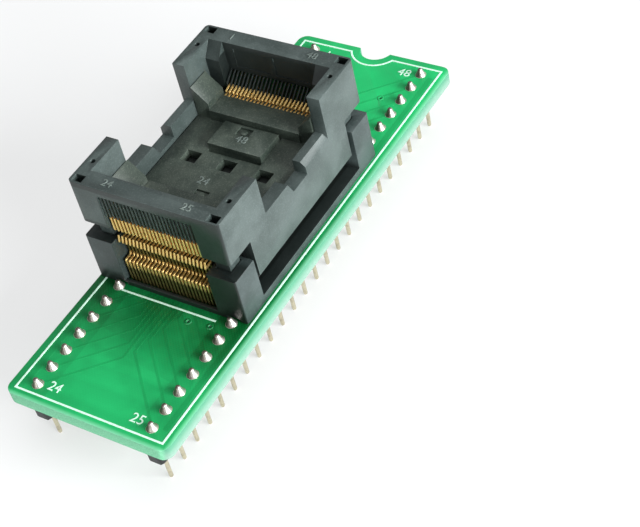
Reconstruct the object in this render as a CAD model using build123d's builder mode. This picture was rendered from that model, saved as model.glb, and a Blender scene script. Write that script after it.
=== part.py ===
"""Programming socket adapter: an open top chip socket on a 48 pin plug in board.

The part frame has its origin under the middle of the board, on the plane of the
pin tips. X runs along the board towards the notched end, Y to the left, Z up.
The socket has its own middle, and its heights are counted from the board top.
"""

import os
from math import atan, cos, degrees, pi, sin

from build123d import *

# Board
board_length = 62.8
board_width = 21.5
board_thickness = 1.6
board_corner_radius = 1.2
notch_radius = 2.2
notch_depth = 1.6

# Header pins, one row along each long edge
pins_per_row = 24
pin_pitch = 2.54
row_spacing = 15.24
pin_tip_radius = 0.25
pin_tip_sides = 6
pin_tip_length = 3.2
pin_post_width = 0.64
pin_shoulder_length = 0.7
pin_hole_width = 0.8
strip_height = 2.8
strip_width = 2.0
strip_edge_chamfer = 0.25

# Solder on the ends of the header pins
solder_foot_radius = 0.62
solder_tip_radius = 0.28
solder_height = 0.95
hidden_solder_height = 0.3
solder_sides = 6

# Plated vias beside the socket
via_spots = ((23.8, -5.0), (-15.5, -2.9), (-15.2, -5.6), (26.9, 3.4))
via_outer_radius = 0.42
via_bore_radius = 0.22
via_rim_height = 0.04
via_sides = 8
via_clearance = 0.03

# Socket place on the board
socket_x = 0.7
socket_y = 0.6

# Lower housing of the socket
base_end_depth = 4.2
base_width = 20.1
rail_height = 1.0
post_length = 3.65
post_height = 6.5
body_top = 6.4
trench_half_width = 6.3
front_lip_thickness = 0.4
front_lip_height = 0.7
anchor_top = 4.3
peg_radius = 0.6
peg_length = 1.3
peg_clearance = 0.05
peg_offset = (8.0, 5.4)
post_edge_radius = 0.3
solder_channel_width = 1.7
solder_channel_height = 0.45
solder_channel_rear = 13.9

# Press down cover
cover_end_inset = 0.35
cover_side_inset = 0.23
cover_body_clearance = 0.13
cover_wall = 1.64
cover_top = 14.6
cover_travel = 2.0
cover_edge_radius = 0.5
corner_skirt_bottom = 8.6
skirt_end_setback = 3.85
skirt_bottom = 3.5
ear_length = 7.35
side_wall_top = 9.6
side_step_depth = 0.6
side_notch_floor = 8.0
side_notch_front = -1.24
side_notch_rear = 1.6
side_notch_lead_in = 0.75
rim_width = 2.2
rim_depth = 1.2
web_thickness = 0.3
web_bottom = 10.7
panel_width = 4.6
panel_spacing = 5.4
panel_depth = 0.12
panel_bottom = 11.3
panel_top = 13.9
corner_block_depth = 1.4
corner_gusset_drop = 1.8
window_half_width = 6.2
corner_pocket_length = 1.0
corner_pocket_width = 1.35
corner_pocket_depth = 1.4
corner_pocket_inset = (0.75, 1.02)
ear_hole_radius = 0.32
ear_hole_depth = 1.5
ear_hole_inset = (3.5, 0.92)

# Latches that hold the cover down against its springs
latch_centre = 4.6
latch_width = 1.6
latch_reach = 0.42
latch_height = 0.8
latch_stop_gap = 0.1
latch_top = 5.4
latch_clearance = 0.1

# Combs in the ends of the cover
comb_bottom = 10.3
comb_setback = 0.15
comb_slot_width = 0.34
comb_slot_roof_outer = 13.3
comb_slot_roof_inner = 11.96
comb_side_gap = 0.05
rib_ledge_gap = 0.2
rib_bottom = 9.0
rib_inner_top = 9.6
rib_foot_slope = 0.7

# Chip nest
nest_floor = 7.5
shelf_height = 8.9
shelf_inner = 6.1
chip_half_width = 6.1
guide_inner = 6.3
guide_outer = 9.4
guide_top = 11.6
guide_lip_top = 9.67
pad_top = 8.4
pad_start = 1.8
pad_end = 5.7
pad_half_width = 3.6
pad_groove_width = 0.4
pad_groove_depth = 0.45
eject_hole_length = 1.7
eject_hole_width = 2.0
eject_hole_spacing = 4.85
gate_mark_length = 1.3
gate_mark_width = 1.8
gate_mark_depth = 0.3
gate_mark_spots = ((-4.9, 0.3, 7.5), (4.7, 0.4, 8.4))
gate_boss_radius = 0.4
lead_ledge_outer = 9.95
lead_ledge_height = 8.77
lead_ledge_thickness = 0.6
lead_ledge_width = 0.95

# Contacts, twenty four at each end of the chip
contacts_per_end = 24
contact_pitch = 0.5
contact_thickness = 0.24
contact_strip = 0.34
leg_lip_clearance = 0.18
leg_top = 3.5
leg_to_back = 1.05
back_to_pivot = 0.85
pivot_to_anchor = 0.3
hook_top = 7.35
tail_step = 1.1
tail_jog_height = 0.5
tail_hole_width = 0.5
pivot_height = 6.6
pivot_gap = 0.02
nose_overlap = 0.6
nose_bottom = 8.98
nose_thickness = 0.24
nose_rise = 0.3
beam_bottom = 8.1
bar_setback = 0.2
bar_top = 10.1
cam_tip_inset = 1.15
cam_tip_height = 12.15
cam_width = 0.3
tail_solder_width = 0.5
tail_solder_height = 0.35
tail_solder_tip_width = 0.3

# Plungers at the cover's corners, which slide in the posts over the springs
plunger_inset = (2.25, 2.3)
plunger_width = 1.8
plunger_clearance = 0.1
spring_coil_radius = 0.62
spring_wire = 0.2
spring_turns = 4
spring_sides = 6
spring_seat = 3.0
spring_spare = 0.3

# Levels and reaches that follow from the sizes above
board_bottom = pin_tip_length + pin_shoulder_length + strip_height
board_top = board_bottom + board_thickness
strip_bottom = board_bottom - strip_height
row_half = row_spacing / 2
base_half = lead_ledge_outer + base_end_depth
base_half_width = base_width / 2
cover_half_length = base_half - cover_end_inset
cover_half_width = base_half_width - cover_side_inset
cover_inner_width = cover_half_width - cover_wall
body_half_width = cover_inner_width - cover_body_clearance
body_reach = lead_ledge_outer - lead_ledge_width
skirt_half_length = cover_half_length - skirt_end_setback
ear_inner_end = cover_half_length - ear_length
rim_inner = cover_half_length - rim_width
corner_block_inner = rim_inner - corner_block_depth
corner_pocket_x = cover_half_length - corner_pocket_inset[0]
corner_pocket_y = cover_half_width - corner_pocket_inset[1]
ear_hole_x = cover_half_length - ear_hole_inset[0]
ear_hole_y = cover_half_width - ear_hole_inset[1]
plunger_x = base_half - plunger_inset[0]
plunger_y = base_half_width - plunger_inset[1]
window_top = cover_top - rim_depth
post_inner = base_half - post_length
web_outer = rim_inner + web_thickness
comb_face = cover_half_length - comb_setback
rib_reach = lead_ledge_outer + rib_ledge_gap
upright_reach = rib_reach
nose_reach = lead_ledge_outer - nose_overlap
leg_reach = base_half - front_lip_thickness - leg_lip_clearance - contact_strip / 2
back_reach = leg_reach - leg_to_back
pivot_reach = back_reach - back_to_pivot
anchor_reach = pivot_reach - pivot_to_anchor
tail_inner_reach = leg_reach - tail_step
bar_reach = comb_face - bar_setback
cam_tip_reach = bar_reach - cam_tip_inset
spring_solid_height = spring_turns * spring_wire
plunger_bottom = spring_seat + spring_solid_height + cover_travel + spring_spare
solder_taper = degrees(atan((solder_foot_radius - solder_tip_radius) / solder_height))

sides = (("left", 1), ("right", -1))
ends = (("front", -1), ("rear", 1))
quarters = ((-1, 1), (-1, -1), (1, 1), (1, -1))


def level(height):
    """Plane over the socket's middle, the given height above the board."""
    return Plane(origin=(socket_x, socket_y, board_top + height))


def contact_y(index):
    """Place of one contact across the socket."""
    return socket_y + (index - (contacts_per_end - 1) / 2) * contact_pitch


def end_plane(direction, y):
    """Upright plane along the socket: first axis outwards, second axis up."""
    return Plane(
        origin=(socket_x, y, board_top),
        x_dir=(direction, 0, 0),
        z_dir=(0, -direction, 0),
    )


def cross_plane(direction, reach):
    """Upright plane across the socket: first axis to the left, second axis up."""
    return Plane(
        origin=(socket_x + direction * reach, socket_y, board_top),
        x_dir=(0, 1, 0),
        z_dir=(1, 0, 0),
    )


def pin_xs():
    """Places of the header pins along the board."""
    first = -(pins_per_row - 1) / 2 * pin_pitch
    return [first + index * pin_pitch for index in range(pins_per_row)]


def under_socket(x, y):
    """Whether a header pin ends below the housing of the socket."""
    return abs(x - socket_x) < base_half


def tail_reach(index):
    """Reach of a contact's tail, which steps in on every second contact."""
    return leg_reach if index % 2 == 0 else tail_inner_reach


def finish(builder, name):
    """Names the finished piece and writes it."""
    builder.part.label = name
    export_step(builder.part, f"parts/{name}.step")


os.makedirs("parts", exist_ok=True)

# Circuit board, with the half round notch that marks the pin one end
with BuildPart() as circuit_board:
    with BuildSketch(Plane.XY.offset(board_bottom)):
        RectangleRounded(board_length, board_width, board_corner_radius)
        with Locations((board_length / 2 + notch_radius - notch_depth, 0)):
            Circle(notch_radius, mode=Mode.SUBTRACT)
        with Locations([(x, side * row_half) for x in pin_xs() for _, side in sides]):
            Rectangle(pin_hole_width, pin_hole_width, mode=Mode.SUBTRACT)
        with Locations(list(via_spots)):
            RegularPolygon(via_outer_radius + via_clearance, via_sides, mode=Mode.SUBTRACT)
        tail_spots = [
            (socket_x + direction * tail_reach(index), contact_y(index))
            for index in range(contacts_per_end)
            for _, direction in ends
        ]
        with Locations(tail_spots):
            Rectangle(tail_hole_width, tail_hole_width / 2, mode=Mode.SUBTRACT)
        peg_spots = [
            (socket_x + sign * peg_offset[0], socket_y - sign * peg_offset[1])
            for sign in (-1, 1)
        ]
        with Locations(peg_spots):
            Circle(peg_radius + peg_clearance, mode=Mode.SUBTRACT)
    extrude(amount=board_thickness)
finish(circuit_board, "circuit_board")

# Header strips and their pins, with solder on the ends that reach the board top
for side_name, side in sides:
    pin_spots = [(x, side * row_half) for x in pin_xs()]

    with BuildPart() as header_strip:
        with BuildSketch(Plane.XY.offset(strip_bottom)):
            with Locations((0, side * row_half)):
                Rectangle(pins_per_row * pin_pitch, strip_width)
            with Locations(pin_spots):
                Rectangle(pin_post_width, pin_post_width, mode=Mode.SUBTRACT)
        extrude(amount=strip_height)
        outer_edges = header_strip.edges().filter_by(Axis.Z).group_by(Axis.X)
        chamfer(outer_edges[0] + outer_edges[-1], length=strip_edge_chamfer)
    finish(header_strip, f"header_strip_{side_name}")

    # The two end pins of a row are the gauged ones, so their tips are true rounds
    with BuildPart() as header_pins:
        with BuildSketch(Plane.XY):
            with Locations(pin_spots[1:-1]):
                RegularPolygon(pin_tip_radius, pin_tip_sides)
            with Locations([pin_spots[0], pin_spots[-1]]):
                Circle(pin_tip_radius)
        extrude(amount=pin_tip_length)
        with BuildSketch(Plane.XY.offset(pin_tip_length)):
            with Locations(pin_spots):
                Rectangle(pin_post_width, pin_post_width)
        extrude(amount=board_top - pin_tip_length)
    finish(header_pins, f"header_pins_{side_name}")

    # Pins under the socket carry flat joints that fit its channels
    with BuildPart() as pin_solder:
        for covered, height in ((False, solder_height), (True, hidden_solder_height)):
            with BuildSketch(Plane.XY.offset(board_top)):
                with Locations([spot for spot in pin_spots if under_socket(*spot) == covered]):
                    RegularPolygon(solder_foot_radius, solder_sides)
            extrude(amount=height, taper=solder_taper)
    finish(pin_solder, f"pin_solder_{side_name}")

# Plated vias
with BuildPart() as via_rings:
    with BuildSketch(Plane.XY.offset(board_bottom - via_rim_height)):
        with Locations(list(via_spots)):
            RegularPolygon(via_outer_radius, via_sides)
            RegularPolygon(via_bore_radius, via_sides, mode=Mode.SUBTRACT)
    extrude(amount=board_thickness + 2 * via_rim_height)
finish(via_rings, "via_rings")

# Lower housing: floor, body under the chip, four corner posts and contact trenches
with BuildPart() as socket_base:
    with BuildSketch(level(0)):
        Rectangle(2 * base_half, base_width)
    extrude(amount=rail_height)
    with BuildSketch(level(rail_height)):
        Rectangle(2 * post_inner, 2 * body_half_width)
    extrude(amount=body_top - rail_height)
    with BuildSketch(level(rail_height)):
        for along, across in quarters:
            with Locations(
                (
                    along * (base_half - post_length / 2),
                    across * (base_half_width + trench_half_width) / 2,
                )
            ):
                Rectangle(post_length, base_half_width - trench_half_width)
    extrude(amount=post_height - rail_height)
    fillet(
        [
            edge
            for edge in socket_base.edges().filter_by(Axis.Z)
            if abs(abs(edge.center().X - socket_x) - base_half) < 0.01
            and abs(abs(edge.center().Y - socket_y) - base_half_width) < 0.01
        ],
        radius=post_edge_radius,
    )
    # Trench at each end, open to the board, with a low lip outside the legs
    for _, direction in ends:
        with BuildSketch(end_plane(direction, socket_y)):
            with BuildLine():
                Polyline(
                    (anchor_reach, 0),
                    (base_half - front_lip_thickness, 0),
                    (base_half - front_lip_thickness, front_lip_height),
                    (base_half, front_lip_height),
                    (base_half, post_height),
                    (body_reach, post_height),
                    (body_reach, anchor_top),
                    (anchor_reach, anchor_top),
                    close=True,
                )
            make_face()
        extrude(amount=trench_half_width, both=True, mode=Mode.SUBTRACT)
    # Grooves in which the cover's latches run, closed at the top by the stop
    with BuildSketch(level(rail_height)):
        for along, across in quarters:
            with Locations(
                (
                    along * latch_centre,
                    across * (body_half_width - latch_reach / 2),
                )
            ):
                Rectangle(
                    latch_width + 2 * latch_clearance,
                    latch_reach + latch_clearance,
                )
    extrude(
        amount=latch_top + latch_stop_gap - rail_height, mode=Mode.SUBTRACT
    )
    # Channels below, over the solder of the pins that the socket covers
    with BuildSketch(Plane.XY.offset(board_top)):
        for _, side in sides:
            with Locations(
                (
                    socket_x + (solder_channel_rear - base_half) / 2,
                    side * row_half,
                )
            ):
                Rectangle(base_half + solder_channel_rear, solder_channel_width)
    extrude(amount=solder_channel_height, mode=Mode.SUBTRACT)
    # Wells for the springs and plungers in the posts, pegs that enter the board
    well_width = plunger_width + 2 * plunger_clearance
    with BuildSketch(level(spring_seat)):
        for along, across in quarters:
            with Locations((along * plunger_x, across * plunger_y)):
                Rectangle(well_width, well_width)
    extrude(amount=post_height - spring_seat, mode=Mode.SUBTRACT)
    with BuildSketch(level(-peg_length)):
        for sign in (-1, 1):
            with Locations((sign * peg_offset[0], -sign * peg_offset[1])):
                Circle(peg_radius)
    extrude(amount=peg_length)
finish(socket_base, "socket_base")

# Nest plate: floor, lead shelves, corner guides and the shrouds over the contacts
with BuildPart() as nest_plate:
    with BuildSketch(level(body_top)):
        Rectangle(2 * body_reach, 2 * body_half_width)
    extrude(amount=nest_floor - body_top)
    for _, direction in ends:
        with BuildSketch(end_plane(direction, socket_y)):
            with BuildLine():
                Polyline(
                    (shelf_inner, nest_floor),
                    (body_reach, nest_floor),
                    (body_reach, lead_ledge_height - lead_ledge_thickness),
                    (lead_ledge_outer, lead_ledge_height - lead_ledge_thickness),
                    (lead_ledge_outer, lead_ledge_height),
                    (body_reach, lead_ledge_height),
                    (body_reach, shelf_height),
                    (shelf_inner, shelf_height),
                    close=True,
                )
            make_face()
        extrude(amount=chip_half_width, both=True)
        for _, side in sides:
            with BuildSketch(cross_plane(direction, guide_inner)):
                with BuildLine():
                    Polyline(
                        (side * chip_half_width, nest_floor),
                        (side * body_half_width, nest_floor),
                        (side * body_half_width, guide_top),
                        (side * chip_half_width, guide_lip_top),
                        close=True,
                    )
                make_face()
            extrude(amount=direction * (guide_outer - guide_inner))
    # Raised pad with a shadow groove before it
    with BuildSketch(level(nest_floor)):
        with Locations(((pad_start + pad_end) / 2, 0)):
            Rectangle(pad_end - pad_start, 2 * pad_half_width)
    extrude(amount=pad_top - nest_floor)
    with BuildSketch(level(nest_floor - pad_groove_depth)):
        for edge_x in (pad_start - pad_groove_width / 2, shelf_inner - pad_groove_width / 2):
            with Locations((edge_x, 0)):
                Rectangle(pad_groove_width, 2 * pad_half_width)
    extrude(amount=pad_groove_depth, mode=Mode.SUBTRACT)
    # Through holes, gate marks with their small bosses
    with BuildSketch(level(body_top)):
        with GridLocations(1, eject_hole_spacing, 1, 3):
            Rectangle(eject_hole_length, eject_hole_width)
    extrude(amount=nest_floor - body_top, mode=Mode.SUBTRACT)
    for mark_x, mark_y, mark_top in gate_mark_spots:
        with BuildSketch(level(mark_top - gate_mark_depth)):
            with Locations((mark_x, mark_y)):
                Rectangle(gate_mark_length, gate_mark_width)
                Circle(gate_boss_radius, mode=Mode.SUBTRACT)
        extrude(amount=gate_mark_depth, mode=Mode.SUBTRACT)
finish(nest_plate, "nest_plate")

# Cover: side profile carried across, then opened from above and at both ends
with BuildPart() as socket_cover:
    with BuildSketch(end_plane(1, socket_y)):
        with BuildLine():
            Polyline(
                (-cover_half_length, corner_skirt_bottom),
                (-skirt_half_length, corner_skirt_bottom),
                (-skirt_half_length, skirt_bottom),
                (skirt_half_length, skirt_bottom),
                (skirt_half_length, corner_skirt_bottom),
                (cover_half_length, corner_skirt_bottom),
                (cover_half_length, cover_top),
                (ear_inner_end, cover_top),
                (ear_inner_end, side_wall_top),
                (side_notch_rear, side_wall_top),
                (side_notch_rear, side_notch_floor),
                (side_notch_front, side_notch_floor),
                (side_notch_front - side_notch_lead_in, side_wall_top),
                (-ear_inner_end, side_wall_top),
                (-ear_inner_end, cover_top),
                (-cover_half_length, cover_top),
                close=True,
            )
        make_face()
    extrude(amount=cover_half_width, both=True)
    fillet(
        [
            edge
            for edge in socket_cover.edges().filter_by(Axis.Z)
            if abs(abs(edge.center().X - socket_x) - cover_half_length) < 0.01
        ],
        radius=cover_edge_radius,
    )
    chamfer(
        [
            edge
            for edge in socket_cover.edges().filter_by(Axis.X)
            if abs(edge.center().Z - board_top - side_wall_top) < 0.01
            and abs(abs(edge.center().Y - socket_y) - cover_half_width) < 0.01
            and edge.center().X > socket_x + side_notch_rear
        ],
        length=side_step_depth,
    )
    # Opening for the chip, which leaves a block at each corner for its plunger
    with BuildSketch(level(skirt_bottom)):
        Rectangle(2 * rim_inner, 2 * trench_half_width)
        Rectangle(2 * corner_block_inner, 2 * cover_inner_width)
    extrude(amount=cover_top - skirt_bottom, mode=Mode.SUBTRACT)
    # Sloped gussets over the inner half of each corner block
    for _, direction in ends:
        with BuildSketch(end_plane(direction, socket_y)):
            with BuildLine():
                Polyline(
                    (corner_block_inner, cover_top - corner_gusset_drop),
                    (rim_inner, cover_top),
                    (corner_block_inner, cover_top),
                    close=True,
                )
            make_face()
        extrude(amount=cover_inner_width, both=True, mode=Mode.SUBTRACT)
    # Window in each end wall, under the rim and outside a thin inner web
    with BuildSketch(level(corner_skirt_bottom)):
        Rectangle(2 * cover_half_length, 2 * window_half_width)
    extrude(amount=web_bottom - corner_skirt_bottom, mode=Mode.SUBTRACT)
    with BuildSketch(level(web_bottom)):
        for _, direction in ends:
            with Locations((direction * (web_outer + cover_half_length) / 2, 0)):
                Rectangle(cover_half_length - web_outer, 2 * window_half_width)
    extrude(amount=window_top - web_bottom, mode=Mode.SUBTRACT)
    # Two shallow panels in the inner face of each rim
    with BuildSketch(level(panel_bottom)):
        for _, direction in ends:
            for _, side in sides:
                with Locations(
                    (
                        direction * (rim_inner + panel_depth / 2),
                        side * panel_spacing / 2,
                    )
                ):
                    Rectangle(panel_depth, panel_width)
    extrude(amount=panel_top - panel_bottom, mode=Mode.SUBTRACT)
    # Plungers below the corners, corner pockets and ear holes from above
    with BuildSketch(level(plunger_bottom)):
        for along, across in quarters:
            with Locations((along * plunger_x, across * plunger_y)):
                Rectangle(plunger_width, plunger_width)
    extrude(amount=corner_skirt_bottom - plunger_bottom)
    with BuildSketch(level(cover_top - corner_pocket_depth)):
        for along, across in quarters:
            with Locations((along * corner_pocket_x, across * corner_pocket_y)):
                Rectangle(corner_pocket_length, corner_pocket_width)
    extrude(amount=corner_pocket_depth, mode=Mode.SUBTRACT)
    with BuildSketch(level(cover_top - ear_hole_depth)):
        for along, across in quarters:
            with Locations((along * ear_hole_x, across * ear_hole_y)):
                Circle(ear_hole_radius)
    extrude(amount=ear_hole_depth, mode=Mode.SUBTRACT)
    # Latches inside the skirts
    latch_depth = cover_body_clearance + latch_reach
    with BuildSketch(level(latch_top - latch_height)):
        for along, across in quarters:
            with Locations(
                (
                    along * latch_centre,
                    across * (cover_inner_width - latch_depth / 2),
                )
            ):
                Rectangle(latch_width, latch_depth)
    extrude(amount=latch_height)
finish(socket_cover, "socket_cover")

# Combs that stand between the contacts, from the end windows to the lead ledges
rib_foot = (
    (rib_reach, rib_bottom),
    (web_outer, rib_bottom),
    (web_outer + rib_foot_slope, comb_bottom),
    (comb_face, comb_bottom),
)
rib_shoulder = (
    (web_outer, web_bottom),
    (rim_inner, web_bottom),
    (rib_reach, rib_inner_top),
)
for end_name, direction in ends:
    with BuildPart() as comb_slot:
        with BuildSketch(end_plane(direction, 0)):
            with BuildLine():
                Polyline(
                    *rib_foot,
                    (comb_face, comb_slot_roof_outer),
                    (web_outer, comb_slot_roof_inner),
                    *rib_shoulder,
                    close=True,
                )
            make_face()
        extrude(amount=comb_slot_width / 2, both=True)

    with BuildPart() as cover_comb:
        with BuildSketch(end_plane(direction, socket_y)):
            with BuildLine():
                Polyline(
                    *rib_foot,
                    (comb_face, window_top),
                    (web_outer, window_top),
                    *rib_shoulder,
                    close=True,
                )
            make_face()
        extrude(amount=window_half_width - comb_side_gap, both=True)
        with Locations([(0, contact_y(index), 0) for index in range(contacts_per_end)]):
            add(comb_slot.part, mode=Mode.SUBTRACT)
    finish(cover_comb, f"cover_comb_{end_name}")

# Contacts at both ends: fixed stems, swinging arms and the solder on the tails
half = contact_strip / 2
stem_top = pivot_height - 3 * pivot_gap
stem_crown = (
    (leg_reach + half, leg_top + half),
    (back_reach + half, leg_top + half),
    (back_reach + half, stem_top - contact_strip),
    (leg_reach + half, stem_top - contact_strip),
    (leg_reach - half, hook_top),
    (leg_reach - half, stem_top),
    (pivot_reach - half, stem_top),
    (pivot_reach - half, stem_top - contact_strip),
    (back_reach - half, stem_top - contact_strip),
    (back_reach - half, leg_top + half),
    (anchor_reach, leg_top + half),
    (anchor_reach, leg_top - half),
    (leg_reach - half, leg_top - half),
)
tail_end = -board_thickness
straight_tail = (
    (leg_reach - half, tail_end),
    (leg_reach + half, tail_end),
)
stepped_tail = (
    (leg_reach - half, tail_jog_height + half),
    (tail_inner_reach - half, tail_jog_height + half),
    (tail_inner_reach - half, tail_end),
    (tail_inner_reach + half, tail_end),
    (tail_inner_reach + half, tail_jog_height - half),
    (leg_reach + half, tail_jog_height - half),
)
arm_outline = (
    (nose_reach, nose_bottom),
    (nose_reach, nose_bottom + nose_thickness),
    (upright_reach + contact_strip, nose_bottom + nose_thickness + nose_rise),
    (upright_reach + contact_strip, beam_bottom + contact_strip),
    (bar_reach - contact_strip, beam_bottom + contact_strip),
    (cam_tip_reach - cam_width, cam_tip_height - contact_strip),
    (cam_tip_reach, cam_tip_height),
    (bar_reach, bar_top),
    (bar_reach, beam_bottom),
    (pivot_reach + half, beam_bottom),
    (pivot_reach + half, pivot_height + pivot_gap),
    (pivot_reach - half, pivot_height + pivot_gap),
    (pivot_reach - half, beam_bottom),
    (upright_reach, beam_bottom),
    (upright_reach, nose_bottom + nose_rise),
)
for end_name, direction in ends:
    with BuildPart() as straight_stem:
        with BuildSketch(end_plane(direction, 0)):
            with BuildLine():
                Polyline(*stem_crown, *straight_tail, close=True)
            make_face()
        extrude(amount=contact_thickness / 2, both=True)

    with BuildPart() as stepped_stem:
        with BuildSketch(end_plane(direction, 0)):
            with BuildLine():
                Polyline(*stem_crown, *stepped_tail, close=True)
            make_face()
        extrude(amount=contact_thickness / 2, both=True)

    with BuildPart() as contact_stems:
        for first, stem in enumerate((straight_stem, stepped_stem)):
            with Locations(
                [(0, contact_y(index), 0) for index in range(first, contacts_per_end, 2)]
            ):
                add(stem.part)
    finish(contact_stems, f"contact_stems_{end_name}")

    with BuildPart() as one_arm:
        with BuildSketch(end_plane(direction, 0)):
            with BuildLine():
                Polyline(*arm_outline, close=True)
            make_face()
        extrude(amount=contact_thickness / 2, both=True)

    with BuildPart() as contact_arms:
        with Locations([(0, contact_y(index), 0) for index in range(contacts_per_end)]):
            add(one_arm.part)
    finish(contact_arms, f"contact_arms_{end_name}")

    with BuildPart() as contact_solder:
        for index in range(contacts_per_end):
            tail_spot = (socket_x + direction * tail_reach(index), contact_y(index))
            with BuildSketch(Plane.XY.offset(board_bottom)):
                with Locations(tail_spot):
                    Rectangle(tail_solder_width, tail_solder_width)
            with BuildSketch(Plane.XY.offset(board_bottom - tail_solder_height)):
                with Locations(tail_spot):
                    Rectangle(tail_solder_tip_width, tail_solder_tip_width)
            loft()
    finish(contact_solder, f"contact_solder_{end_name}")

# Cover springs, one in each post, their coils turned as short straight lengths
spring_rise = (plunger_bottom - spring_seat - spring_wire) / (spring_turns * spring_sides)


def spring_points(along, across):
    """Corners of the wire path of the spring in the given quarter."""
    return [
        (
            socket_x + along * plunger_x + spring_coil_radius * cos(step * turn),
            socket_y + across * plunger_y + spring_coil_radius * sin(step * turn),
            board_top + spring_seat + spring_wire / 2 + spring_rise * step,
        )
        for step in range(spring_turns * spring_sides + 1)
    ]


turn = 2 * pi / spring_sides
for quarter_name, (along, across) in zip(
    ("front_left", "front_right", "rear_left", "rear_right"), quarters
):
    with BuildPart() as cover_spring:
        with BuildLine() as wire_path:
            Polyline(*spring_points(along, across))
        with BuildSketch(Plane(wire_path.line @ 0, z_dir=wire_path.line % 0)):
            Rectangle(spring_wire, spring_wire)
        sweep(transition=Transition.RIGHT)
    finish(cover_spring, f"cover_spring_{quarter_name}")
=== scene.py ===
"""Looks of a programming socket adapter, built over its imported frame.

The board and the plastic mouldings are rounded copies of the frame's own
solids. Contacts, pins, solder, springs, tracks, printed lines and numbers are
surfaces worked out here. X runs along the board to its notch, Y to its left
row of pins, Z up from the tips of the pins. Sizes are written in millimetres,
and the meshes are in metres, as the frame is.
"""

from __future__ import annotations

import logging
import math
from dataclasses import dataclass, field
from enum import Enum
from typing import Any, Sequence

import bmesh
import bpy
import numpy as np
from mathutils import Matrix, Vector

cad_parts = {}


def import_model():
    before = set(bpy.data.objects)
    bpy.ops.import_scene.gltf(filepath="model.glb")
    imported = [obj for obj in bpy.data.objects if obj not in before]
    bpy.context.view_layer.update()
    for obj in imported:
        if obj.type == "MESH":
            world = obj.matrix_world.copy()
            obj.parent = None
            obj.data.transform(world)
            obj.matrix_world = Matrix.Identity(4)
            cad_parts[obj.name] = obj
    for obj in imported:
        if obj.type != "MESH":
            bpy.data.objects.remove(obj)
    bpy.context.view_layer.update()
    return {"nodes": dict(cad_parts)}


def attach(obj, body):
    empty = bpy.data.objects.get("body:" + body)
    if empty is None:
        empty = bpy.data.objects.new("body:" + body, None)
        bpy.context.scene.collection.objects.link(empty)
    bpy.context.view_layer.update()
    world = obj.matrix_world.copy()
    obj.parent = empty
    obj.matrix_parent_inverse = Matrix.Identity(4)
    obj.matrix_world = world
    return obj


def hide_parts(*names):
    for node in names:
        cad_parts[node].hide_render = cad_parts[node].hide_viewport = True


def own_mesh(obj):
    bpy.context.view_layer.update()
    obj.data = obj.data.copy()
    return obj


log = logging.getLogger("socket_adapter")

MM = 0.001
ORIGIN = np.zeros((1, 3))

Colour = tuple[float, float, float, float]
Point = tuple[float, float]
Shell = tuple[np.ndarray, list[list[int]]]


class Side(Enum):
    """The two long sides of the board."""

    LEFT = 1
    RIGHT = -1


class End(Enum):
    """The two ends of the socket. The rear one faces the notch of the board."""

    FRONT = -1
    REAR = 1


class Body(Enum):
    """The rigid bodies that pieces ride on."""

    ADAPTER = "adapter"
    COVER = "cover"
    FRONT_ARMS = "front_arms"
    REAR_ARMS = "rear_arms"


def points_at(x: Any, y: Any, z: Any = 0.0) -> np.ndarray:
    """Points in metres, one in each row, from coordinates in millimetres."""
    return np.stack(np.broadcast_arrays(x, y, z), axis=-1).reshape(-1, 3) * MM


def even_row(count: int, pitch: float) -> np.ndarray:
    """Places of a row that is spaced evenly about zero."""
    return (np.arange(count) - (count - 1) / 2) * pitch


@dataclass(frozen=True)
class Layout:
    """Places that several pieces share, in millimetres."""

    board_top: float = 8.3
    board_bottom: float = 6.7
    notch_centre: float = 32.0
    pins_per_row: int = 24
    pitch: float = 2.54
    row_y: float = 7.62
    socket_x: float = 0.7
    socket_y: float = 0.6
    base_half: float = 14.15
    contacts: int = 24
    contact_pitch: float = 0.5
    tail_outer: float = 13.4
    tail_inner: float = 12.3

    def pin_x(self) -> np.ndarray:
        """Places of the header pins along the board."""
        return even_row(self.pins_per_row, self.pitch)

    def pins(self, side: Side, covered: bool | None = None, z: float = 0.0) -> np.ndarray:
        """Places of the pins of one row.

        Args:
            side: The row.
            covered: Whether only the pins below the socket are meant, or only
                the others. None stands for all of them.
            z: Height of the places.

        Returns:
            Points in metres.
        """
        x = self.pin_x()
        if covered is not None:
            x = x[(np.abs(x - self.socket_x) < self.base_half) == covered]
        return points_at(x, side.value * self.row_y, z)

    def contact_y(self) -> np.ndarray:
        """Places of the contacts across the board."""
        return self.socket_y + even_row(self.contacts, self.contact_pitch)

    def tails(self, end: End) -> np.ndarray:
        """Places of one end's contact tails, every second one stepped inwards."""
        reach = np.where(np.arange(self.contacts) % 2 == 0, self.tail_outer, self.tail_inner)
        return points_at(self.socket_x + end.value * reach, self.contact_y())


LAYOUT = Layout()
SOCKET = (LAYOUT.socket_x, LAYOUT.socket_y, LAYOUT.board_top)


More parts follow.
